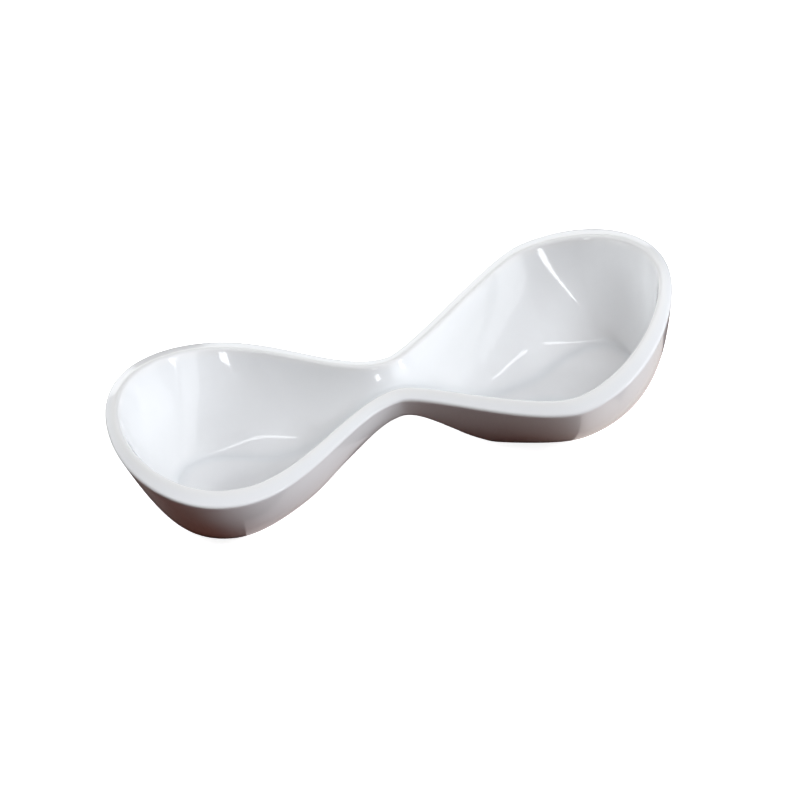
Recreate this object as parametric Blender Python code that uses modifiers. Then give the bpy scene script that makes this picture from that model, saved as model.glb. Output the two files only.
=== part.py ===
"""Chip and dip server: two teardrop bowls that meet at a pinched neck, in one piece of thick porcelain.

Frame: metres, +Z up. X runs along both bowls, with the larger bowl at +X. The origin is on the table, under
the middle of the length. The dish is the same on both sides of the XZ plane, so one half is lofted and
mirrored. Each bowl stands on a bare foot ring.
"""
import math
from dataclasses import dataclass

import bmesh
import bpy
from mathutils import Vector
from mathutils.geometry import interpolate_bezier

# ---------------------------------------------------------------- driving dimensions
NECK_HALF_WIDTH = 0.0161     # from the axis to the outer edge of the rim, at the neck
NECK_EDGE_HEIGHT = 0.0376    # the rim's outer edge above the table, at the neck
END_EDGE_HEIGHT = 0.0580     # the same edge at the far end of each bowl
RISE_POWER = 3.0             # how late the rim rises on its way from the neck to the ends

RIM_SLOPE = math.radians(18) # the rim's flat band falls outwards by this much
RIM_AT_NECK = 0.0058         # from the outer edge to the rim's crest, in plan
RIM_AT_SIDE = 0.0078         # the same at a bowl's side
EDGE_RADIUS = 0.0016         # the round between the band and the outer wall
LIP_RADIUS = 0.0020          # the round between the crest and the inner wall
LIP_TURN = math.radians(62)  # how far that round turns down

FLOOR_HEIGHT = 0.0060        # top of the flat floor above the table
CHANNEL_DEPTH = 0.0062       # the channel over the neck, below the rim's outer edge
NECK_THICKNESS = 0.0075      # clay under the channel
WALL_POWER = 1.65            # the inner wall: 1 is straight, more is hollower
WALL_START_SLOPE = 0.235     # the outer wall, just under the rim: inwards over downwards
WALL_TURN_POWER = 3          # how late the outer wall turns in on its way down

RING_HEIGHT = 0.0020         # bare foot ring
RING_WIDTH = 0.0040
RING_EDGE = 0.0003           # the rounding of its edges
JOINT_GAP = 0.0003           # between the foot ring and the glazed body
FOOT_ROUND = 0.0050          # the round where the outer wall turns under

NECK_STEPS = 15              # sections from the neck to a bowl's widest place
END_STEPS = 10               # sections from there to the bowl's far end
RING_POINTS = 14             # segments in each quarter of a foot ring
FLOOR_STEPS = 3              # points along an inner section's flat part
INNER_STEPS = 10             # points up its wall
INNER_SPACING = 1.35         # how much closer together they are at the floor
LIP_STEPS = 2                # segments of the lip's round
EDGE_STEPS = 3               # segments of the outer edge's round
OUTER_STEPS = 9              # segments down an outer section's wall
FOOT_STEPS = 4               # segments of the round at its foot
UNDER_STEPS = 2              # segments from there to the axis


@dataclass(frozen=True)
class Bowl:
    """One bowl, measured outwards from the middle of the neck."""
    name: str
    side: int                # +1 for the bowl at +X, -1 for the one at -X
    reach: float             # to the far end of the rim
    widest: float            # to the rim's widest place
    half_width: float        # of the rim, there
    neck_pull: float         # how far the outline runs straight on from the neck
    side_pull: float         # ... from the widest place towards the neck
    shoulder_pull: float     # ... from the widest place towards the far end
    end_pull: float          # ... from the far end, sideways
    floor_start: float       # to the flat floor's near tip
    floor_share: float       # flat part of an inner section's line, at the far end
    foot_start: float        # to where the outer bottom lies flat
    waist_share: float       # flat part of an outer section's line, between the neck and the bowl
    foot_share: float        # ... and in the bowl
    rim_at_end: float        # from the outer edge to the rim's crest, at the far end
    ring_centre: float       # to the middle of the foot ring
    ring_half_length: float
    ring_half_width: float


LARGE = Bowl("large", 1, 0.137, 0.0790, 0.0630, 0.0125, 0.0210, 0.0315, 0.0300,
             0.048, 0.44, 0.040, 0.58, 0.50, 0.0042, 0.0830, 0.0290, 0.0240)
SMALL = Bowl("small", -1, 0.133, 0.0855, 0.0588, 0.0250, 0.0360, 0.0285, 0.0335,
             0.052, 0.48, 0.053, 0.40, 0.61, 0.0052, 0.0850, 0.0270, 0.0230)
NECK_X = (SMALL.reach - LARGE.reach) / 2     # centres the length on the origin

CORE_SHARE = 0.68            # the sections' lines end on the axis, within this share of a bowl's reach
CHANNEL_SHARE = 0.12         # flat part of an inner section's line, at the neck
KEEL_SHARE = 0.78            # flat part of an outer section's line, at the neck
RIM_WIDENS = (0.1, 0.45)     # where the rim widens, from 0 at the neck to 1 at the end
RIM_NARROWS = (0.65, 1.0)    # where it narrows again
FLOOR_OPENS = (0.45, 0.87)   # where the channel widens to the floor
WAIST_FORMS = (0.0, 0.3)     # where the keel narrows to the waist
FOOT_FORMS = (0.3, 0.65)     # where the waist widens to the foot
LARGEST_FOOT_ROUND = 0.6     # of the flat part of a section's line


# ---------------------------------------------------------------- curves
def blend(low, high, share):
    """Smooth step from low to high as share goes from 0 to 1."""
    share = min(max(share, 0.0), 1.0)
    return low + (high - low) * share * share * (3 - 2 * share)


def blend_over(low, high, stretch, share):
    """Smooth step from low to high as share crosses a stretch, given by its two ends."""
    return blend(low, high, (share - stretch[0]) / (stretch[1] - stretch[0]))


def outline(bowl):
    """Half of a bowl's rim in plan, from the neck to its far end: the outer edge's (x, y) points."""
    neck = Vector((0, NECK_HALF_WIDTH))
    side = Vector((bowl.widest, bowl.half_width))
    end = Vector((bowl.reach, 0))
    first = interpolate_bezier(neck, neck + Vector((bowl.neck_pull, 0)),
                               side - Vector((bowl.side_pull, 0)), side, NECK_STEPS + 1)
    second = interpolate_bezier(side, side + Vector((bowl.shoulder_pull, 0)),
                                end + Vector((0, bowl.end_pull)), end, END_STEPS + 1)
    return first[:-1] + second


def edge_height(bowl, x):
    """Height of the rim's outer edge, at a distance x from the neck."""
    return NECK_EDGE_HEIGHT + (END_EDGE_HEIGHT - NECK_EDGE_HEIGHT) * (x / bowl.reach) ** RISE_POWER


def channel_height(bowl, x):
    """Height of the hollow along the axis: level on the floor, and up over the neck."""
    top = NECK_EDGE_HEIGHT - CHANNEL_DEPTH
    return blend(top, FLOOR_HEIGHT, x / bowl.floor_start)


def keel_height(bowl, x):
    """Height of the underside along the axis: level over the foot ring, and up under the neck."""
    top = NECK_EDGE_HEIGHT - CHANNEL_DEPTH - NECK_THICKNESS
    return blend(top, RING_HEIGHT + JOINT_GAP, x / bowl.foot_start)


# ---------------------------------------------------------------- one section
def crest_inset(bowl, share):
    """From the rim's outer edge to its crest, in plan, for a section's share of the way to the far end."""
    widening = blend_over(0, RIM_AT_SIDE - RIM_AT_NECK, RIM_WIDENS, share)
    narrowing = blend_over(0, RIM_AT_SIDE - bowl.rim_at_end, RIM_NARROWS, share)
    return RIM_AT_NECK + widening - narrowing


def lip_point(angle, inset, edge):
    """The (inwards, height) point of the lip's round, at an angle from the crest down its inner side."""
    band = inset - LIP_RADIUS * math.sin(RIM_SLOPE) - EDGE_RADIUS * (1 - math.sin(RIM_SLOPE))
    centre = (EDGE_RADIUS - LIP_RADIUS) * math.cos(RIM_SLOPE) + band * math.tan(RIM_SLOPE)
    return inset + LIP_RADIUS * math.sin(angle), edge + centre + LIP_RADIUS * math.cos(angle)


def inner_profile(bowl, place, length, edge, share):
    """The hollow's (inwards, height) points, from the axis up to the inner side of the lip."""
    flat = blend_over(CHANNEL_SHARE, bowl.floor_share, FLOOR_OPENS, share) * length
    bottom = channel_height(bowl, place(length - flat))
    start, top = lip_point(LIP_TURN, crest_inset(bowl, share), edge)
    run = length - flat - start
    points = []
    for step in range(FLOOR_STEPS):
        inwards = length - flat * step / FLOOR_STEPS
        points.append((inwards, channel_height(bowl, place(inwards))))
    for step in range(INNER_STEPS):
        rise = (step / INNER_STEPS) ** INNER_SPACING
        points.append((length - flat - run * rise, bottom + (top - bottom) * rise ** WALL_POWER))
    return points


def rim_profile(inset, edge):
    """The rim's (inwards, height) points: the lip's round, the band's fall and the outer edge's round."""
    points = [lip_point(LIP_TURN * (1 - step / LIP_STEPS), inset, edge) for step in range(LIP_STEPS + 1)]
    points.append(lip_point(-RIM_SLOPE, inset, edge))
    for step in range(EDGE_STEPS + 1):
        angle = RIM_SLOPE + (math.pi / 2 - RIM_SLOPE) * step / EDGE_STEPS
        points.append((EDGE_RADIUS * (1 - math.sin(angle)), edge + EDGE_RADIUS * math.cos(angle)))
    return points


def outer_profile(bowl, place, length, edge, share):
    """The outside's (inwards, height) points, from under the rim down and in to the axis."""
    waist = blend_over(KEEL_SHARE, bowl.waist_share, WAIST_FORMS, share)
    flat = (waist + blend_over(0, bowl.foot_share - bowl.waist_share, FOOT_FORMS, share)) * length
    run = length - flat
    drop = edge - keel_height(bowl, place(run))
    straight = WALL_START_SLOPE * drop
    wall = []
    for step in range(1, OUTER_STEPS + 1):
        depth = step / OUTER_STEPS
        wall.append((straight * depth + (run - straight) * depth ** WALL_TURN_POWER, edge - drop * depth))

    corner = wall.pop()
    before = wall[-1]
    turn = min(FOOT_ROUND, flat * LARGEST_FOOT_ROUND)
    after = (run + turn, keel_height(bowl, place(run + turn)))
    for step in range(1, FOOT_STEPS):
        along = step / FOOT_STEPS
        wall.append(tuple((1 - along) ** 2 * a + 2 * along * (1 - along) * b + along ** 2 * c
                          for a, b, c in zip(before, corner, after)))
    wall.append(after)
    for step in range(1, UNDER_STEPS + 1):
        inwards = run + turn + (length - run - turn) * step / UNDER_STEPS
        wall.append((inwards, keel_height(bowl, place(inwards))))
    return wall


def section(bowl, share, point):
    """One cross-section: from the axis inside, over the rim, to the axis underneath."""
    core_x = CORE_SHARE * bowl.reach * math.sin(share * math.pi / 2)
    towards = Vector((core_x, 0)) - point
    length = towards.length

    def place(inwards):
        return point.x + towards.x * inwards / length

    edge = edge_height(bowl, point.x)
    profile = (inner_profile(bowl, place, length, edge, share)
               + rim_profile(crest_inset(bowl, share), edge)
               + outer_profile(bowl, place, length, edge, share))
    points = []
    for inwards, height in profile:
        across = max(point.y * (1 - inwards / length), 0.0)
        points.append(Vector((NECK_X + bowl.side * place(inwards), across, height)))
    return points


# ---------------------------------------------------------------- objects
def add_material(obj, name, colour, roughness):
    """Gives an object its own Principled material."""
    material = bpy.data.materials.new(name)
    material.use_nodes = True
    shader = material.node_tree.nodes["Principled BSDF"]
    shader.inputs["Base Color"].default_value = (*colour, 1)
    shader.inputs["Roughness"].default_value = roughness
    shader.inputs["Metallic"].default_value = 0.0
    obj.data.materials.append(material)


def make_body(collection):
    """The glazed dish: its sections lofted from the small bowl's end to the large one's, and mirrored."""
    sections = []
    for bowl in (SMALL, LARGE):
        points = outline(bowl)
        half = [section(bowl, index / (len(points) - 1), point) for index, point in enumerate(points)]
        sections += half[::-1] if bowl is SMALL else half[1:]

    mesh = bpy.data.meshes.new("glazed_body")
    build = bmesh.new()
    rows = [[build.verts.new(point) for point in row] for row in sections]
    for row, following in zip(rows, rows[1:]):
        for index in range(len(row) - 1):
            build.faces.new((row[index], row[index + 1], following[index + 1], following[index]))
    bmesh.ops.recalc_face_normals(build, faces=build.faces)
    build.to_mesh(mesh)
    build.free()
    mesh.shade_smooth()

    body = bpy.data.objects.new("glazed_body", mesh)
    collection.objects.link(body)
    mirror = body.modifiers.new("other_half", "MIRROR")
    mirror.use_axis = (False, True, False)
    mirror.merge_threshold = 0.00001
    add_material(body, "white_glaze", (0.83, 0.83, 0.82), 0.12)
    return body


def make_foot_ring(bowl, collection):
    """The bare ring under a bowl: a flat oval band with its edges rounded."""
    curve = bpy.data.curves.new("foot_ring_" + bowl.name, "CURVE")
    curve.dimensions = "2D"
    curve.fill_mode = "BOTH"
    curve.extrude = RING_HEIGHT / 2 - RING_EDGE
    curve.bevel_depth = RING_EDGE
    curve.bevel_resolution = 1
    for inset in (RING_EDGE, RING_WIDTH - RING_EDGE):
        spline = curve.splines.new("POLY")
        count = 4 * RING_POINTS
        spline.points.add(count - 1)
        spline.use_cyclic_u = True
        for index, point in enumerate(spline.points):
            angle = 2 * math.pi * index / count
            point.co = ((bowl.ring_half_length - inset) * math.cos(angle),
                        (bowl.ring_half_width - inset) * math.sin(angle), 0, 1)
    outline_object = bpy.data.objects.new("foot_ring_outline", curve)
    collection.objects.link(outline_object)
    bpy.context.view_layer.update()
    evaluated = outline_object.evaluated_get(bpy.context.evaluated_depsgraph_get())
    mesh = bpy.data.meshes.new_from_object(evaluated)
    bpy.data.objects.remove(outline_object)

    build = bmesh.new()
    build.from_mesh(mesh)
    bmesh.ops.remove_doubles(build, verts=build.verts, dist=0.00001)
    build.to_mesh(mesh)
    build.free()
    mesh.materials.clear()

    ring = bpy.data.objects.new("foot_ring_" + bowl.name, mesh)
    ring.location = (NECK_X + bowl.side * bowl.ring_centre, 0, RING_HEIGHT / 2)
    collection.objects.link(ring)
    add_material(ring, "bare_clay_" + bowl.name, (0.72, 0.67, 0.60), 0.85)
    return ring


def main():
    """Clears the scene and builds the dish."""
    for leftover in list(bpy.data.objects):
        bpy.data.objects.remove(leftover)
    collection = bpy.data.collections.new("chip_and_dip_server")
    bpy.context.scene.collection.children.link(collection)
    make_body(collection)
    for bowl in (LARGE, SMALL):
        make_foot_ring(bowl, collection)


main()
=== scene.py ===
"""Looks of a chip and dip server: two teardrop bowls joined at a pinched neck, in thick glazed porcelain.

Metres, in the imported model's frame: +X along both bowls towards the larger one, +Z up from the table. The
dish is the same on both sides of the XZ plane, so one half is shaped and mirrored.
"""
import logging
import math
from dataclasses import dataclass
from enum import Enum
from typing import Callable

import bpy
from mathutils import Matrix, Vector
from mathutils.geometry import interpolate_bezier


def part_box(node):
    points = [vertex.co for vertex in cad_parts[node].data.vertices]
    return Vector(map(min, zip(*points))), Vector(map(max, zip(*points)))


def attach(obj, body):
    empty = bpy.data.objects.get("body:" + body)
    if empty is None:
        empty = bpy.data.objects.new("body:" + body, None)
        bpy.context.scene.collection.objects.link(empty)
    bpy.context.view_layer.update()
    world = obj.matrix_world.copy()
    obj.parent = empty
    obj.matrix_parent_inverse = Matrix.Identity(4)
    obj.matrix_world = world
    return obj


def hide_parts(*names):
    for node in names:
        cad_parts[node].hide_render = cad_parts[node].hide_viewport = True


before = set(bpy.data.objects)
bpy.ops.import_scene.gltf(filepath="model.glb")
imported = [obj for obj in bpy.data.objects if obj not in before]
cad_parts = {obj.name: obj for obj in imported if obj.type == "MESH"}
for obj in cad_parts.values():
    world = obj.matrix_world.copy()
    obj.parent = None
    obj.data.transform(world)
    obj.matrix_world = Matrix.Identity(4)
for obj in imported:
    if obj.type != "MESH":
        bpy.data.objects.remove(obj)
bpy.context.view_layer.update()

LOG = logging.getLogger("chip_and_dip_server")
BODY = "root"

Point = tuple[float, float]
Colour = tuple[float, float, float]


class Slot(Enum):
    """The record's material slots."""
    GLAZE = "white_glaze"
    CLAY = "bare_clay"


class Side(Enum):
    """The two bowls, by the way they point along X."""
    SMALL = -1
    LARGE = 1

    @property
    def ring_node(self) -> str:
        """Name of the foot ring under this bowl."""
        return "foot_ring_" + self.name.lower()


# ---------------------------------------------------------------- helpers
def blend(low: float, high: float, share: float) -> float:
    """Smooth step.

    Args:
        low: value where share is 0 or less.
        high: value where share is 1 or more.
        share: how far along.

    Returns:
        The value there.
    """
    share = min(max(share, 0.0), 1.0)
    return low + (high - low) * share * share * (3 - 2 * share)


def blend_over(low: float, high: float, stretch: Point, share: float) -> float:
    """Smooth step across a stretch, given by its two ends.

    Args:
        low: value before the stretch.
        high: value after it.
        stretch: where it starts and ends.
        share: the place asked for.

    Returns:
        The value there.
    """
    return blend(low, high, (share - stretch[0]) / (stretch[1] - stretch[0]))


def deselect_all() -> None:
    """Leaves object mode with nothing selected."""
    if bpy.context.object and bpy.context.object.mode != "OBJECT":
        bpy.ops.object.mode_set(mode="OBJECT")
    bpy.ops.object.select_all(action="DESELECT")


def apply_modifier(piece: bpy.types.Object, kind: str, **settings: object) -> None:
    """Adds a modifier to a piece and applies it.

    Args:
        piece: the object.
        kind: Blender's name for the modifier.
        settings: its values.
    """
    deselect_all()
    bpy.context.view_layer.objects.active = piece
    piece.select_set(True)
    modifier = piece.modifiers.new(kind.lower(), kind)
    for name, value in settings.items():
        setattr(modifier, name, value)
    bpy.ops.object.modifier_apply(modifier=modifier.name)


def outward_normals(piece: bpy.types.Object) -> None:
    """Points a closed mesh's faces outwards."""
    deselect_all()
    bpy.context.view_layer.objects.active = piece
    piece.select_set(True)
    bpy.ops.object.mode_set(mode="EDIT")
    bpy.ops.mesh.select_all(action="SELECT")
    bpy.ops.mesh.normals_make_consistent(inside=False)
    bpy.ops.object.mode_set(mode="OBJECT")


def settle(piece: bpy.types.Object) -> None:
    """Puts an object's place, turn and scale into its mesh."""
    deselect_all()
    bpy.context.view_layer.objects.active = piece
    piece.select_set(True)
    bpy.ops.object.transform_apply(location=True, rotation=True, scale=True)


# ---------------------------------------------------------------- shared node groups
class Effects:
    """Node groups that more than one finish uses. Each is built once."""
    NOISE_DETAIL = 4.0
    NOISE_RANGE = (0.3, 0.7)         # what most of the noise lies between

    @staticmethod
    def _start(name: str, inputs: dict[str, float | None], output: str) -> bpy.types.NodeTree:
        """Makes an empty group.

        Args:
            name: the group's name.
            inputs: name and value of each input; a vector has no value.
            output: name of its one output.

        Returns:
            The group, with its input and output nodes in it.
        """
        group = bpy.data.node_groups.new(name, "ShaderNodeTree")
        for label, value in inputs.items():
            kind = "NodeSocketVector" if value is None else "NodeSocketFloat"
            socket = group.interface.new_socket(name=label, in_out="INPUT", socket_type=kind)
            if value is not None:
                socket.default_value = value
        group.interface.new_socket(name=output, in_out="OUTPUT", socket_type="NodeSocketFloat")
        group.nodes.new("NodeGroupInput")
        group.nodes.new("NodeGroupOutput")
        return group

    @classmethod
    def mottle(cls) -> bpy.types.NodeTree:
        """Soft cloudy variation between two values.

        Returns:
            The group, with inputs Place, Scale, Low and High, and output Value.
        """
        if "mottle" in bpy.data.node_groups:
            return bpy.data.node_groups["mottle"]
        group = cls._start("mottle", {"Place": None, "Scale": 40.0, "Low": 0.0, "High": 1.0}, "Value")
        nodes, links = group.nodes, group.links
        noise = nodes.new("ShaderNodeTexNoise")
        noise.inputs["Detail"].default_value = cls.NOISE_DETAIL
        spread = nodes.new("ShaderNodeMapRange")
        spread.inputs["From Min"].default_value = cls.NOISE_RANGE[0]
        spread.inputs["From Max"].default_value = cls.NOISE_RANGE[1]
        given = nodes["Group Input"].outputs
        links.new(given["Place"], noise.inputs["Vector"])
        links.new(given["Scale"], noise.inputs["Scale"])
        links.new(noise.outputs["Fac"], spread.inputs["Value"])
        links.new(given["Low"], spread.inputs["To Min"])
        links.new(given["High"], spread.inputs["To Max"])
        links.new(spread.outputs["Result"], nodes["Group Output"].inputs["Value"])
        return group

    @classmethod
    def specks(cls) -> bpy.types.NodeTree:
        """Small scattered spots.

        Returns:
            The group, with inputs Place, Scale, Size and Share, and output Mask.
        """
        if "specks" in bpy.data.node_groups:
            return bpy.data.node_groups["specks"]
        group = cls._start("specks", {"Place": None, "Scale": 200.0, "Size": 0.1, "Share": 0.2}, "Mask")
        nodes, links = group.nodes, group.links
        cells = nodes.new("ShaderNodeTexVoronoi")
        cells.inputs["Randomness"].default_value = 1.0
        spot = nodes.new("ShaderNodeMapRange")
        spot.interpolation_type = "SMOOTHSTEP"
        spot.inputs["From Min"].default_value = 0.0
        spot.inputs["To Min"].default_value = 1.0
        spot.inputs["To Max"].default_value = 0.0
        chosen = nodes.new("ShaderNodeMath")
        chosen.operation = "LESS_THAN"
        both = nodes.new("ShaderNodeMath")
        both.operation = "MULTIPLY"
        given = nodes["Group Input"].outputs
        links.new(given["Place"], cells.inputs["Vector"])
        links.new(given["Scale"], cells.inputs["Scale"])
        links.new(cells.outputs["Distance"], spot.inputs["Value"])
        links.new(given["Size"], spot.inputs["From Max"])
        links.new(cells.outputs["Color"], chosen.inputs[0])
        links.new(given["Share"], chosen.inputs[1])
        links.new(spot.outputs["Result"], both.inputs[0])
        links.new(chosen.outputs["Value"], both.inputs[1])
        links.new(both.outputs["Value"], nodes["Group Output"].inputs["Mask"])
        return group


class Shader:
    """A material under construction, with its Principled shader and short ways to add nodes."""

    def __init__(self, name: str) -> None:
        """Starts a material.

        Args:
            name: the material's name.
        """
        self.material = bpy.data.materials.new(name)
        self.material.use_nodes = True
        self.nodes = self.material.node_tree.nodes
        self.links = self.material.node_tree.links
        self.principled = self.nodes["Principled BSDF"]
        self.place = self.nodes.new("ShaderNodeTexCoord").outputs["Object"]

    def group(self, tree: bpy.types.NodeTree, **values: float) -> bpy.types.NodeSocket:
        """Places a shared group on the object's own coordinates.

        Args:
            tree: the group.
            values: its inputs' values.

        Returns:
            Its output.
        """
        node = self.nodes.new("ShaderNodeGroup")
        node.node_tree = tree
        self.links.new(self.place, node.inputs["Place"])
        for name, value in values.items():
            node.inputs[name].default_value = value
        return node.outputs[0]

    def attribute(self, name: str) -> bpy.types.NodeSocket:
        """The value of a mesh attribute."""
        node = self.nodes.new("ShaderNodeAttribute")
        node.attribute_name = name
        return node.outputs["Fac"]

    def maths(self, operation: str, first: bpy.types.NodeSocket,
              second: bpy.types.NodeSocket | float) -> bpy.types.NodeSocket:
        """Adds a Math node.

        Args:
            operation: Blender's name for it.
            first: the first value.
            second: the second value, linked or plain.

        Returns:
            The result.
        """
        node = self.nodes.new("ShaderNodeMath")
        node.operation = operation
        self.links.new(first, node.inputs[0])
        if isinstance(second, bpy.types.NodeSocket):
            self.links.new(second, node.inputs[1])
        else:
            node.inputs[1].default_value = second
        return node.outputs["Value"]

    def mix(self, share: bpy.types.NodeSocket, first: bpy.types.NodeSocket | Colour,
            second: Colour) -> bpy.types.NodeSocket:
        """Mixes two colours.

        Args:
            share: how much of the second shows.
            first: the first colour, linked or plain.
            second: the second colour.

        Returns:
            The mixed colour.
        """
        node = self.nodes.new("ShaderNodeMix")
        node.data_type = "RGBA"
        self.links.new(share, node.inputs[0])
        if isinstance(first, bpy.types.NodeSocket):
            self.links.new(first, node.inputs[6])
        else:
            node.inputs[6].default_value = (*first, 1)
        node.inputs[7].default_value = (*second, 1)
        return node.outputs[2]

    def bump(self, height: bpy.types.NodeSocket, distance: float) -> None:
        """Adds relief on top of any relief already there.

        Args:
            height: the relief, from 0 to 1.
            distance: what 1 stands for, in metres.
        """
        node = self.nodes.new("ShaderNodeBump")
        node.inputs["Strength"].default_value = 1.0
        node.inputs["Distance"].default_value = distance
        self.links.new(height, node.inputs["Height"])
        normal = self.principled.inputs["Normal"]
        if normal.is_linked:
            self.links.new(normal.links[0].from_socket, node.inputs["Normal"])
        self.links.new(node.outputs["Normal"], normal)

    def feed(self, socket: str, value: bpy.types.NodeSocket) -> None:
        """Links a value to one of the shader's inputs."""
        self.links.new(value, self.principled.inputs[socket])


# ---------------------------------------------------------------- finishes
@dataclass(frozen=True)
class PorcelainGlaze:
    """High-gloss clear glaze over white porcelain."""
    white: Colour = (0.86, 0.865, 0.87)
    pooled: Colour = (0.80, 0.82, 0.835)        # where the glaze gathered thick
    thin: Colour = (0.87, 0.86, 0.84)           # over the crest of the rim
    cloud: Colour = (0.83, 0.835, 0.845)
    speck: Colour = (0.52, 0.48, 0.43)
    cloud_scale: float = 28.0                   # scales are in repeats per metre
    cloud_share: float = 0.55
    pool_share: float = 0.8
    thin_share: float = 0.7
    speck_scale: float = 160.0
    speck_size: float = 0.055                   # in parts of a cell, as for every spot
    speck_density: float = 0.10
    speck_share: float = 0.55
    roughness: Point = (0.045, 0.085)
    roughness_scale: float = 55.0
    glaze_ior: float = 1.54
    coat: float = 0.35
    coat_roughness: float = 0.02
    orange_peel: float = 0.000012               # relief of the glaze's surface
    peel_scale: float = 170.0
    pinhole: float = 0.00004
    pinhole_scale: float = 330.0
    pinhole_size: float = 0.07
    pinhole_density: float = 0.06

    def material(self) -> bpy.types.Material:
        """Builds the material.

        Returns:
            A Principled material that reads the body's crest and pool attributes.
        """
        shader = Shader("porcelain_glaze")
        clouds = shader.group(Effects.mottle(), Scale=self.cloud_scale, Low=0.0, High=self.cloud_share)
        colour = shader.mix(clouds, self.white, self.cloud)
        pool = shader.maths("MULTIPLY", shader.attribute("pool"), self.pool_share)
        colour = shader.mix(pool, colour, self.pooled)
        crest = shader.maths("MULTIPLY", shader.attribute("crest"), self.thin_share)
        colour = shader.mix(crest, colour, self.thin)
        specks = shader.group(Effects.specks(), Scale=self.speck_scale, Size=self.speck_size,
                              Share=self.speck_density)
        colour = shader.mix(shader.maths("MULTIPLY", specks, self.speck_share), colour, self.speck)
        shader.feed("Base Color", colour)
        shader.feed("Roughness", shader.group(Effects.mottle(), Scale=self.roughness_scale,
                                              Low=self.roughness[0], High=self.roughness[1]))
        shader.principled.inputs["IOR"].default_value = self.glaze_ior
        shader.principled.inputs["Coat Weight"].default_value = self.coat
        shader.principled.inputs["Coat Roughness"].default_value = self.coat_roughness
        peel = shader.group(Effects.mottle(), Scale=self.peel_scale, Low=0.0, High=1.0)
        shader.bump(peel, self.orange_peel)
        pinholes = shader.group(Effects.specks(), Scale=self.pinhole_scale, Size=self.pinhole_size,
                                Share=self.pinhole_density)
        shader.bump(shader.maths("MULTIPLY", pinholes, -1.0), self.pinhole)
        return shader.material


@dataclass(frozen=True)
class BareClay:
    """Fired clay wiped clean of glaze, dulled where it rubs on the table."""
    clay: Colour = (0.72, 0.67, 0.60)
    iron: Colour = (0.60, 0.52, 0.44)
    rubbed: Colour = (0.50, 0.47, 0.43)
    iron_scale: float = 120.0
    iron_share: float = 0.8
    rub_share: float = 0.7
    grit_scale: float = 900.0                   # breaks up the rubbed colour
    grit: Point = (0.2, 1.0)
    roughness: Point = (0.72, 0.95)
    roughness_scale: float = 300.0
    grain: float = 0.00006                      # relief of the clay's surface
    grain_scale: float = 1600.0
    pit: float = 0.00015
    pit_scale: float = 700.0
    pit_size: float = 0.3
    pit_density: float = 0.25

    def material(self) -> bpy.types.Material:
        """Builds the material.

        Returns:
            A Principled material that reads the ring's rub attribute.
        """
        shader = Shader("bare_clay_finish")
        iron = shader.group(Effects.mottle(), Scale=self.iron_scale, Low=0.0, High=self.iron_share)
        colour = shader.mix(iron, self.clay, self.iron)
        grit = shader.group(Effects.mottle(), Scale=self.grit_scale, Low=self.grit[0], High=self.grit[1])
        rub = shader.maths("MULTIPLY", shader.attribute("rub"), grit)
        colour = shader.mix(shader.maths("MULTIPLY", rub, self.rub_share), colour, self.rubbed)
        shader.feed("Base Color", colour)
        shader.feed("Roughness", shader.group(Effects.mottle(), Scale=self.roughness_scale,
                                              Low=self.roughness[0], High=self.roughness[1]))
        grain = shader.group(Effects.mottle(), Scale=self.grain_scale, Low=0.0, High=1.0)
        shader.bump(grain, self.grain)
        pits = shader.group(Effects.specks(), Scale=self.pit_scale, Size=self.pit_size,
                            Share=self.pit_density)
        shader.bump(shader.maths("MULTIPLY", pits, -1.0), self.pit)
        return shader.material


# ---------------------------------------------------------------- the glazed body
@dataclass(frozen=True)
class Bowl:
    """One bowl's sizes, measured outwards from the middle of the neck."""
    side: Side
    reach: float             # to the far end of the rim
    widest: float            # to the rim's widest place
    half_width: float        # of the rim, there
    neck_pull: float         # how far the outline runs straight on from the neck
    side_pull: float         # ... from the widest place towards the neck
    shoulder_pull: float     # ... from the widest place towards the far end
    end_pull: float          # ... from the far end, sideways
    floor_start: float       # to the flat floor's near tip
    floor_share: float       # flat part of an inner section's line, at the far end
    foot_start: float        # to where the outer bottom lies flat
    waist_share: float       # flat part of an outer section's line, between the neck and the bowl
    foot_share: float        # ... and in the bowl
    rim_at_end: float        # from the outer edge to the rim's crest, at the far end


LARGE_BOWL = Bowl(Side.LARGE, reach=0.137, widest=0.0790, half_width=0.0630,
                  neck_pull=0.0125, side_pull=0.0210, shoulder_pull=0.0315, end_pull=0.0300,
                  floor_start=0.048, floor_share=0.44, foot_start=0.040,
                  waist_share=0.58, foot_share=0.50, rim_at_end=0.0042)
SMALL_BOWL = Bowl(Side.SMALL, reach=0.133, widest=0.0855, half_width=0.0588,
                  neck_pull=0.0250, side_pull=0.0360, shoulder_pull=0.0285, end_pull=0.0335,
                  floor_start=0.052, floor_share=0.48, foot_start=0.053,
                  waist_share=0.40, foot_share=0.61, rim_at_end=0.0052)


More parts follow.
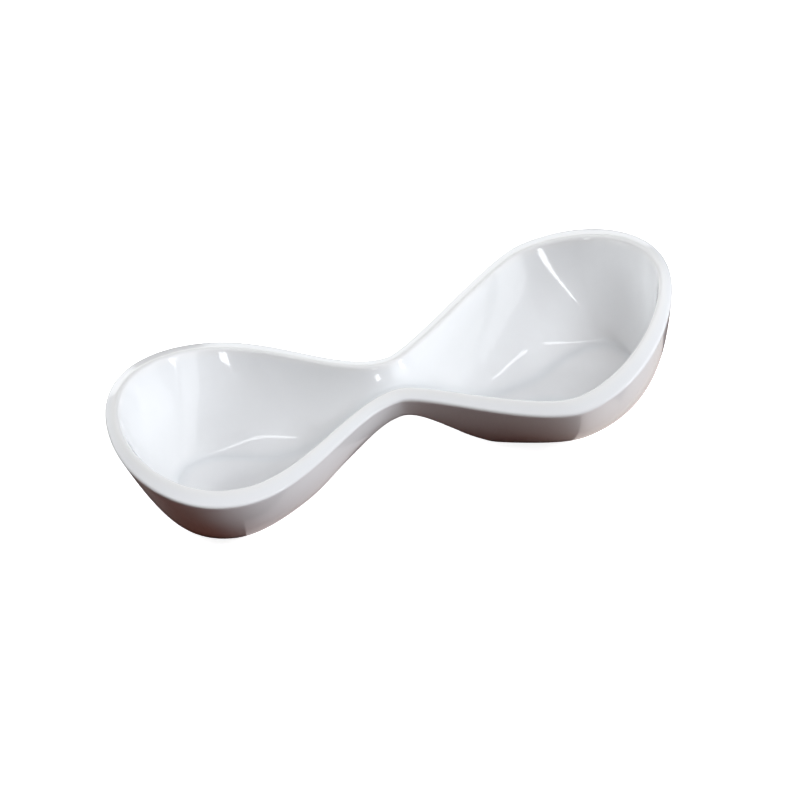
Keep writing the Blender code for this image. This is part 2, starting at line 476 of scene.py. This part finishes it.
@dataclass
class GlazedBody:
    """The dish itself: both bowls, the neck and the rim, in one glazed piece."""
    bowls: tuple[Bowl, Bowl] = (SMALL_BOWL, LARGE_BOWL)
    neck_half_width: float = 0.0161
    neck_edge_height: float = 0.0376
    end_edge_height: float = 0.0580
    rise_power: float = 3.0
    rim_slope: float = math.radians(18)
    rim_at_neck: float = 0.0058      # from the outer edge to the rim's crest, in plan
    rim_at_side: float = 0.0078
    rim_widens: Point = (0.1, 0.45)
    rim_narrows: Point = (0.65, 1.0)
    edge_radius: float = 0.0016
    lip_radius: float = 0.0020
    lip_turn: float = math.radians(62)
    floor_height: float = 0.0060
    channel_depth: float = 0.0062
    neck_thickness: float = 0.0075
    wall_power: float = 1.65
    wall_start_slope: float = 0.235
    wall_turn_power: float = 3.0
    foot_round: float = 0.0050
    underside: float = 0.0023        # lowest glazed height
    core_share: float = 0.68
    channel_share: float = 0.12
    keel_share: float = 0.78
    floor_opens: Point = (0.45, 0.87)
    waist_forms: Point = (0.0, 0.3)
    foot_forms: Point = (0.3, 0.65)
    largest_foot_round: float = 0.6
    neck_steps: int = 56             # sections from the neck to a bowl's widest place
    end_steps: int = 40              # sections from there to its far end
    floor_steps: int = 8
    inner_steps: int = 30
    inner_spacing: float = 1.35
    lip_steps: int = 6
    band_steps: int = 8
    edge_steps: int = 8
    outer_steps: int = 26
    foot_steps: int = 8
    under_steps: int = 7
    waviness: float = 0.00022        # unevenness left by hand finishing
    waviness_length: float = 0.034
    waviness_detail: int = 1
    softening: float = 0.5
    softening_passes: int = 4
    seam: float = 0.00001            # points nearer than this are joined
    crest_band: float = 0.0045       # how far from the crest the glaze runs thin
    pool_band: float = 0.0060        # how far from a fillet it gathers

    @property
    def neck_x(self) -> float:
        """Where the neck is, with the length centred on the origin."""
        return (self.bowls[0].reach - self.bowls[1].reach) / 2

    def outline(self, bowl: Bowl) -> list[Vector]:
        """Half of a bowl's rim in plan.

        Args:
            bowl: the bowl.

        Returns:
            The outer edge's points from the neck to the bowl's far end.
        """
        neck = Vector((0, self.neck_half_width))
        side = Vector((bowl.widest, bowl.half_width))
        end = Vector((bowl.reach, 0))
        first = interpolate_bezier(neck, neck + Vector((bowl.neck_pull, 0)),
                                   side - Vector((bowl.side_pull, 0)), side, self.neck_steps + 1)
        second = interpolate_bezier(side, side + Vector((bowl.shoulder_pull, 0)),
                                    end + Vector((0, bowl.end_pull)), end, self.end_steps + 1)
        return first[:-1] + second

    def edge_height(self, bowl: Bowl, x: float) -> float:
        """Height of the rim's outer edge, at a distance x from the neck."""
        rise = (x / bowl.reach) ** self.rise_power
        return self.neck_edge_height + (self.end_edge_height - self.neck_edge_height) * rise

    def channel_height(self, bowl: Bowl, x: float) -> float:
        """Height of the hollow along the axis."""
        return blend(self.neck_edge_height - self.channel_depth, self.floor_height, x / bowl.floor_start)

    def keel_height(self, bowl: Bowl, x: float) -> float:
        """Height of the underside along the axis."""
        top = self.neck_edge_height - self.channel_depth - self.neck_thickness
        return blend(top, self.underside, x / bowl.foot_start)

    def crest_inset(self, bowl: Bowl, share: float) -> float:
        """From the rim's outer edge to its crest, in plan.

        Args:
            bowl: the bowl.
            share: how far the section is from the neck to the far end.

        Returns:
            The distance.
        """
        widening = blend_over(0, self.rim_at_side - self.rim_at_neck, self.rim_widens, share)
        narrowing = blend_over(0, self.rim_at_side - bowl.rim_at_end, self.rim_narrows, share)
        return self.rim_at_neck + widening - narrowing

    def lip_point(self, angle: float, inset: float, edge: float) -> Point:
        """A point of the lip's round.

        Args:
            angle: from the crest down the inner side.
            inset: from the outer edge to the crest.
            edge: height of the outer edge.

        Returns:
            The (inwards, height) point.
        """
        sine, tangent = math.sin(self.rim_slope), math.tan(self.rim_slope)
        band = inset - self.lip_radius * sine - self.edge_radius * (1 - sine)
        centre = (self.edge_radius - self.lip_radius) * math.cos(self.rim_slope) + band * tangent
        return (inset + self.lip_radius * math.sin(angle),
                edge + centre + self.lip_radius * math.cos(angle))

    def inner_profile(self, bowl: Bowl, place: Callable[[float], float], length: float, edge: float,
                      share: float) -> list[Point]:
        """The hollow of one section.

        Args:
            bowl: the bowl.
            place: gives the distance from the neck for a distance inwards.
            length: of the section's line.
            edge: height of the rim's outer edge there.
            share: how far the section is from the neck to the far end.

        Returns:
            The (inwards, height) points from the axis up to the lip.
        """
        flat = blend_over(self.channel_share, bowl.floor_share, self.floor_opens, share) * length
        bottom = self.channel_height(bowl, place(length - flat))
        start, top = self.lip_point(self.lip_turn, self.crest_inset(bowl, share), edge)
        run = length - flat - start
        points = []
        for step in range(self.floor_steps):
            inwards = length - flat * step / self.floor_steps
            points.append((inwards, self.channel_height(bowl, place(inwards))))
        for step in range(self.inner_steps):
            rise = (step / self.inner_steps) ** self.inner_spacing
            points.append((length - flat - run * rise, bottom + (top - bottom) * rise ** self.wall_power))
        return points

    def rim_profile(self, inset: float, edge: float) -> list[Point]:
        """The rim of one section.

        Args:
            inset: from the outer edge to the crest.
            edge: height of the outer edge.

        Returns:
            The (inwards, height) points of the lip's round, the band's fall and the outer edge's round.
        """
        points = [self.lip_point(self.lip_turn * (1 - step / self.lip_steps), inset, edge)
                  for step in range(self.lip_steps + 1)]
        rounded = []
        for step in range(self.edge_steps + 1):
            angle = self.rim_slope + (math.pi / 2 - self.rim_slope) * step / self.edge_steps
            rounded.append((self.edge_radius * (1 - math.sin(angle)),
                            edge + self.edge_radius * math.cos(angle)))
        start = Vector(self.lip_point(-self.rim_slope, inset, edge))
        for step in range(self.band_steps):
            points.append(tuple(start.lerp(Vector(rounded[0]), step / self.band_steps)))
        return points + rounded

    def outer_profile(self, bowl: Bowl, place: Callable[[float], float], length: float, edge: float,
                      share: float) -> list[Point]:
        """The outside of one section.

        Args:
            bowl: the bowl.
            place: gives the distance from the neck for a distance inwards.
            length: of the section's line.
            edge: height of the rim's outer edge there.
            share: how far the section is from the neck to the far end.

        Returns:
            The (inwards, height) points from under the rim down and in to the axis.
        """
        waist = blend_over(self.keel_share, bowl.waist_share, self.waist_forms, share)
        widening = blend_over(0, bowl.foot_share - bowl.waist_share, self.foot_forms, share)
        flat = (waist + widening) * length
        run = length - flat
        drop = edge - self.keel_height(bowl, place(run))
        straight = self.wall_start_slope * drop
        wall = []
        for step in range(1, self.outer_steps + 1):
            depth = step / self.outer_steps
            inwards = straight * depth + (run - straight) * depth ** self.wall_turn_power
            wall.append((inwards, edge - drop * depth))

        turn = min(self.foot_round, flat * self.largest_foot_round)
        corner = wall.pop()
        while math.dist(wall[-1], corner) < turn:
            before = wall.pop()
        after = (run + turn, self.keel_height(bowl, place(run + turn)))
        count = self.outer_steps - 1 - len(wall) + self.foot_steps
        for step in range(count):
            along = step / count
            wall.append(tuple((1 - along) ** 2 * a + 2 * along * (1 - along) * b + along ** 2 * c
                              for a, b, c in zip(before, corner, after)))
        wall.append(after)
        for step in range(1, self.under_steps + 1):
            inwards = run + turn + (length - run - turn) * step / self.under_steps
            wall.append((inwards, self.keel_height(bowl, place(inwards))))
        return wall

    def section(self, bowl: Bowl, share: float,
                point: Vector) -> tuple[list[Vector], list[float], list[float]]:
        """One cross-section, from the axis inside, over the rim, to the axis underneath.

        Args:
            bowl: the bowl.
            share: how far the section is from the neck to the far end.
            point: its point on the outline.

        Returns:
            Its points, and for each how near the crest and how near a fillet it is, from 0 to 1.
        """
        core = Vector((self.core_share * bowl.reach * math.sin(share * math.pi / 2), 0))
        towards = core - point
        length = towards.length

        def place(inwards: float) -> float:
            """Distance from the neck, at a distance inwards."""
            return point.x + towards.x * inwards / length

        edge = self.edge_height(bowl, point.x)
        inner = self.inner_profile(bowl, place, length, edge, share)
        inset = self.crest_inset(bowl, share)
        rim = self.rim_profile(inset, edge)
        profile = inner + rim + self.outer_profile(bowl, place, length, edge, share)
        crest = Vector(self.lip_point(0, inset, edge))
        fillet = Vector(inner[self.floor_steps])
        points, crests, pools = [], [], []
        for inwards, height in profile:
            across = max(point.y * (1 - inwards / length), 0.0)
            points.append(Vector((self.neck_x + bowl.side.value * place(inwards), across, height)))
            crests.append(blend(1, 0, (Vector((inwards, height)) - crest).length / self.crest_band))
            pools.append(blend(1, 0, (Vector((inwards, height)) - fillet).length / self.pool_band))
        return points, crests, pools

    def half(self) -> bpy.types.Object:
        """Shapes a grid into the half at +Y.

        Returns:
            The half, open at the XZ plane.
        """
        sections = []
        for bowl in self.bowls:
            points = self.outline(bowl)
            last = len(points) - 1
            rows = [self.section(bowl, index / last, point) for index, point in enumerate(points)]
            sections += rows[1:] if sections else rows[::-1]
        across, along = len(sections[0][0]) - 1, len(sections) - 1

        deselect_all()
        bpy.ops.mesh.primitive_grid_add(x_subdivisions=along, y_subdivisions=across, size=2)
        half = bpy.context.object
        crest, pool = [], []
        for vertex in half.data.vertices:
            row = round((vertex.co.x + 1) / 2 * along)
            step = round((vertex.co.y + 1) / 2 * across)
            points, crests, pools = sections[row]
            vertex.co = points[step]
            crest.append(crests[step])
            pool.append(pools[step])
        for name, values in (("crest", crest), ("pool", pool)):
            half.data.attributes.new(name, "FLOAT", "POINT").data.foreach_set("value", values)
        return half

    def build(self) -> bpy.types.Object:
        """Models the body.

        Returns:
            The finished piece.
        """
        body = self.half()
        body.name = "porcelain_body"
        apply_modifier(body, "MIRROR", use_axis=(False, True, False), merge_threshold=self.seam)
        apply_modifier(body, "WELD", merge_threshold=self.seam)
        apply_modifier(body, "SMOOTH", factor=self.softening, iterations=self.softening_passes)
        ripple = bpy.data.textures.new("hand_finishing", "CLOUDS")
        ripple.noise_scale = self.waviness_length
        ripple.noise_depth = self.waviness_detail
        apply_modifier(body, "DISPLACE", texture=ripple, texture_coords="LOCAL",
                       strength=self.waviness, mid_level=1.0)
        outward_normals(body)
        body.data.shade_smooth()
        return body

    def dress(self, body: bpy.types.Object, finish: PorcelainGlaze) -> None:
        """Gives the body its finish and its place in the frame.

        Args:
            body: the piece.
            finish: its glaze.
        """
        body.data.materials.clear()
        body.data.materials.append(finish.material())
        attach(body, BODY)
        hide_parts("glazed_body")


# ---------------------------------------------------------------- the foot rings
@dataclass
class FootRing:
    """The bare ring under one bowl, where the glaze was wiped off so that it wouldn't stick in the kiln."""
    side: Side
    band: float = 0.0040
    bite: float = 0.00055            # how far it runs up into the glazed bottom
    rounding: float = 0.00035
    rounding_steps: int = 4
    segments: int = 160
    rub_height: float = 0.0006       # the table rubs it up to here

    def build(self) -> bpy.types.Object:
        """Models the ring from a disc: inset, opened, raised and rounded.

        Returns:
            The finished piece.
        """
        low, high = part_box(self.side.ring_node)
        middle = (low + high) / 2
        size = high - low
        deselect_all()
        bpy.ops.mesh.primitive_circle_add(vertices=self.segments, radius=1, fill_type="NGON",
                                          location=(middle.x, middle.y, low.z))
        ring = bpy.context.object
        ring.name = "bare_" + self.side.ring_node
        ring.scale = (size.x / 2, size.y / 2, 1)
        settle(ring)
        bpy.ops.object.mode_set(mode="EDIT")
        bpy.ops.mesh.select_all(action="SELECT")
        bpy.ops.mesh.inset(thickness=self.band)
        bpy.ops.mesh.delete(type="FACE")
        bpy.ops.mesh.select_all(action="SELECT")
        bpy.ops.mesh.extrude_region_move(TRANSFORM_OT_translate={"value": (0, 0, size.z + self.bite)})
        bpy.ops.object.mode_set(mode="OBJECT")
        apply_modifier(ring, "BEVEL", width=self.rounding, segments=self.rounding_steps,
                       limit_method="ANGLE")
        outward_normals(ring)
        ring.data.shade_smooth()
        rub = [blend(1, 0, (vertex.co.z - low.z) / self.rub_height) for vertex in ring.data.vertices]
        ring.data.attributes.new("rub", "FLOAT", "POINT").data.foreach_set("value", rub)
        return ring

    def dress(self, ring: bpy.types.Object, finish: BareClay) -> None:
        """Gives the ring its finish and its place in the frame.

        Args:
            ring: the piece.
            finish: its bare clay.
        """
        ring.data.materials.clear()
        ring.data.materials.append(finish.material())
        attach(ring, BODY)
        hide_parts(self.side.ring_node)


# ---------------------------------------------------------------- stage
@dataclass(frozen=True)
class SoftLight:
    """A rectangular light that lights the dish, or only shows as a highlight in its glaze."""
    name: str
    place: tuple[float, float, float]
    width: float
    height: float
    power: float
    colour: Colour
    lights: bool = True              # whether it lights the dish
    mirrored: bool = False           # whether the glaze mirrors it
    faces_up: bool = False           # whether it lies on the table, instead of pointing at the dish

    def build(self) -> None:
        """Adds the light."""
        deselect_all()
        bpy.ops.object.light_add(type="AREA", location=self.place)
        light = bpy.context.object
        light.name = self.name
        light.data.shape = "RECTANGLE"
        light.data.size = self.width
        light.data.size_y = self.height
        light.data.energy = self.power
        light.data.color = self.colour
        light.visible_camera = False
        light.visible_diffuse = self.lights
        light.visible_glossy = self.mirrored
        aim = Vector((0, 0, 1)) if self.faces_up else -Vector(self.place)
        light.rotation_euler = aim.to_track_quat("-Z", "Y").to_euler()


@dataclass(frozen=True)
class Stage:
    """A plain pale floor that bounces the light of a dark wooden table, and soft lights."""
    floor_size: float = 14.0
    pale: Colour = (0.90, 0.90, 0.90)
    glow: float = 0.85
    table: Colour = (0.125, 0.045, 0.032)
    table_dark: Colour = (0.060, 0.019, 0.013)
    grain_scale: float = 9.0
    room: Colour = (0.75, 0.80, 0.90)
    room_power: float = 0.02
    lights: tuple[SoftLight, ...] = (
        SoftLight("back_window", (-0.97, 0.97, 0.29), 0.55, 0.55, 10.2, (0.95, 0.98, 1.00)),
        SoftLight("high_back_window", (-0.81, 0.81, 0.80), 0.55, 0.55, 6.4, (0.94, 0.98, 1.00)),
        SoftLight("right_window", (1.25, -0.34, 0.52), 0.50, 0.40, 4.6, (0.92, 0.97, 1.00)),
        SoftLight("low_right_window", (1.19, -0.69, 0.24), 0.40, 0.30, 4.4, (0.90, 0.93, 1.00)),
        SoftLight("front_light", (0.70, -0.70, 0.99), 0.60, 0.60, 11.2, (0.92, 0.96, 1.00)),
        SoftLight("ceiling_light", (0.00, -0.52, 1.30), 0.60, 0.60, 4.1, (1.00, 0.94, 0.94)),
        SoftLight("left_light", (-1.07, 0.00, 0.90), 0.50, 0.50, 1.1, (1.00, 0.98, 0.95)),
        SoftLight("right_table", (0.115, -0.030, 0.0005), 0.09, 0.06, 0.0110, (1.00, 0.93, 0.88),
                  mirrored=True, faces_up=True),
        SoftLight("front_table", (0.090, -0.095, 0.0005), 0.04, 0.07, 0.0070, (1.00, 0.93, 0.87),
                  mirrored=True, faces_up=True),
        SoftLight("neck_table", (-0.050, -0.035, 0.0005), 0.075, 0.05, 0.0052, (1.00, 0.94, 0.94),
                  mirrored=True, faces_up=True),
        SoftLight("back_wall", (0.00, 1.60, 0.16), 2.40, 0.45, 4.6, (0.97, 0.98, 1.00),
                  lights=False, mirrored=True),
        SoftLight("overhead_strip", (0.00, -0.55, 1.45), 1.60, 0.10, 1.8, (0.97, 0.98, 1.00),
                  lights=False, mirrored=True),
        SoftLight("streak_pane", (-0.57, -1.30, 0.54), 0.20, 0.26, 1.2, (0.97, 0.99, 1.00),
                  lights=False, mirrored=True),
        SoftLight("end_pane", (-1.40, -0.45, 0.22), 0.20, 0.25, 0.9, (0.97, 0.99, 1.00),
                  lights=False, mirrored=True),
        SoftLight("quad_pane", (0.97, -1.08, 0.36), 0.22, 0.12, 0.7, (0.95, 0.98, 1.00),
                  lights=False, mirrored=True),
        SoftLight("front_pane", (0.72, -1.15, 0.62), 1.10, 0.50, 1.9, (0.94, 0.97, 1.00),
                  lights=False, mirrored=True),
    )

    def floor(self) -> None:
        """Adds the floor."""
        deselect_all()
        bpy.ops.mesh.primitive_plane_add(size=self.floor_size)
        floor = bpy.context.object
        floor.name = "floor"
        shader = Shader("pale_floor")
        shader.principled.inputs["Base Color"].default_value = (*self.pale, 1)
        shader.principled.inputs["Roughness"].default_value = 1.0
        shader.principled.inputs["Specular IOR Level"].default_value = 0.0
        shader.principled.inputs["Emission Color"].default_value = (1, 1, 1, 1)
        shader.principled.inputs["Emission Strength"].default_value = self.glow
        table = shader.nodes.new("ShaderNodeBsdfDiffuse")
        grain = shader.group(Effects.mottle(), Scale=self.grain_scale, Low=0.0, High=1.0)
        shader.links.new(shader.mix(grain, self.table, self.table_dark), table.inputs["Color"])
        chooser = shader.nodes.new("ShaderNodeMixShader")
        seen = shader.nodes.new("ShaderNodeLightPath").outputs["Is Camera Ray"]
        shader.links.new(seen, chooser.inputs["Fac"])
        shader.links.new(table.outputs["BSDF"], chooser.inputs[1])
        shader.links.new(shader.principled.outputs["BSDF"], chooser.inputs[2])
        shader.links.new(chooser.outputs["Shader"], shader.nodes["Material Output"].inputs["Surface"])
        floor.data.materials.append(shader.material)

    def room_light(self) -> None:
        """Sets the dim light from all round, with a white background for the camera."""
        world = bpy.data.worlds.new("room")
        world.use_nodes = True
        nodes, links = world.node_tree.nodes, world.node_tree.links
        dim = nodes["Background"]
        dim.inputs["Color"].default_value = (*self.room, 1)
        dim.inputs["Strength"].default_value = self.room_power
        white = nodes.new("ShaderNodeBackground")
        white.inputs["Color"].default_value = (1, 1, 1, 1)
        chooser = nodes.new("ShaderNodeMixShader")
        links.new(nodes.new("ShaderNodeLightPath").outputs["Is Camera Ray"], chooser.inputs["Fac"])
        links.new(dim.outputs["Background"], chooser.inputs[1])
        links.new(white.outputs["Background"], chooser.inputs[2])
        links.new(chooser.outputs["Shader"], nodes["World Output"].inputs["Surface"])
        bpy.context.scene.world = world

    def build(self) -> None:
        """Adds the floor and all the light."""
        self.floor()
        self.room_light()
        for light in self.lights:
            light.build()


@dataclass(frozen=True)
class Viewpoint:
    """Where the camera stands, by its direction from the dish, its roll and its lens."""
    azimuth: float = math.radians(-2.3)
    elevation: float = math.radians(42.0)
    roll: float = math.radians(-14.95)
    distance: float = 1.65
    lens: float = 159.3
    nearest: float = 0.01                    # nothing nearer is drawn
    middle_height: float = 0.0326            # what it is aimed at, over the neck
    aim_right: float = 0.00256               # and how far off that the middle of the view is
    aim_down: float = 0.0054

    def build(self, neck_x: float) -> None:
        """Adds the camera.

        Args:
            neck_x: where the dish's neck is.
        """
        a, e, r = self.azimuth, self.elevation, self.roll
        back = Vector((math.sin(a) * math.cos(e), -math.cos(a) * math.cos(e), math.sin(e)))
        level = Vector((math.cos(a), math.sin(a), 0))
        upright = back.cross(level)
        right = level * math.cos(r) + upright * math.sin(r)
        up = upright * math.cos(r) - level * math.sin(r)
        aim = Vector((neck_x, 0, self.middle_height)) + right * self.aim_right - up * self.aim_down
        deselect_all()
        bpy.ops.object.camera_add()
        camera = bpy.context.object
        camera.data.lens = self.lens
        camera.data.clip_start = self.nearest
        turn = Matrix((right, up, back)).transposed().to_4x4()
        camera.matrix_world = Matrix.Translation(aim + back * self.distance) @ turn
        bpy.context.scene.camera = camera


def main() -> None:
    """Builds the dish, its stage and its camera, and reports each piece."""
    logging.basicConfig(level=logging.INFO, format="%(name)s: %(message)s")
    bpy.context.scene.view_settings.view_transform = "Standard"
    body = GlazedBody()
    piece = body.build()
    body.dress(piece, PorcelainGlaze())
    LOG.info("%s: %d faces", piece.name, len(piece.data.polygons))
    clay = BareClay()
    for side in Side:
        ring = FootRing(side)
        piece = ring.build()
        ring.dress(piece, clay)
        LOG.info("%s: %d faces", piece.name, len(piece.data.polygons))
    Viewpoint().build(body.neck_x)
    Stage().build()


if __name__ == "__main__":
    main()
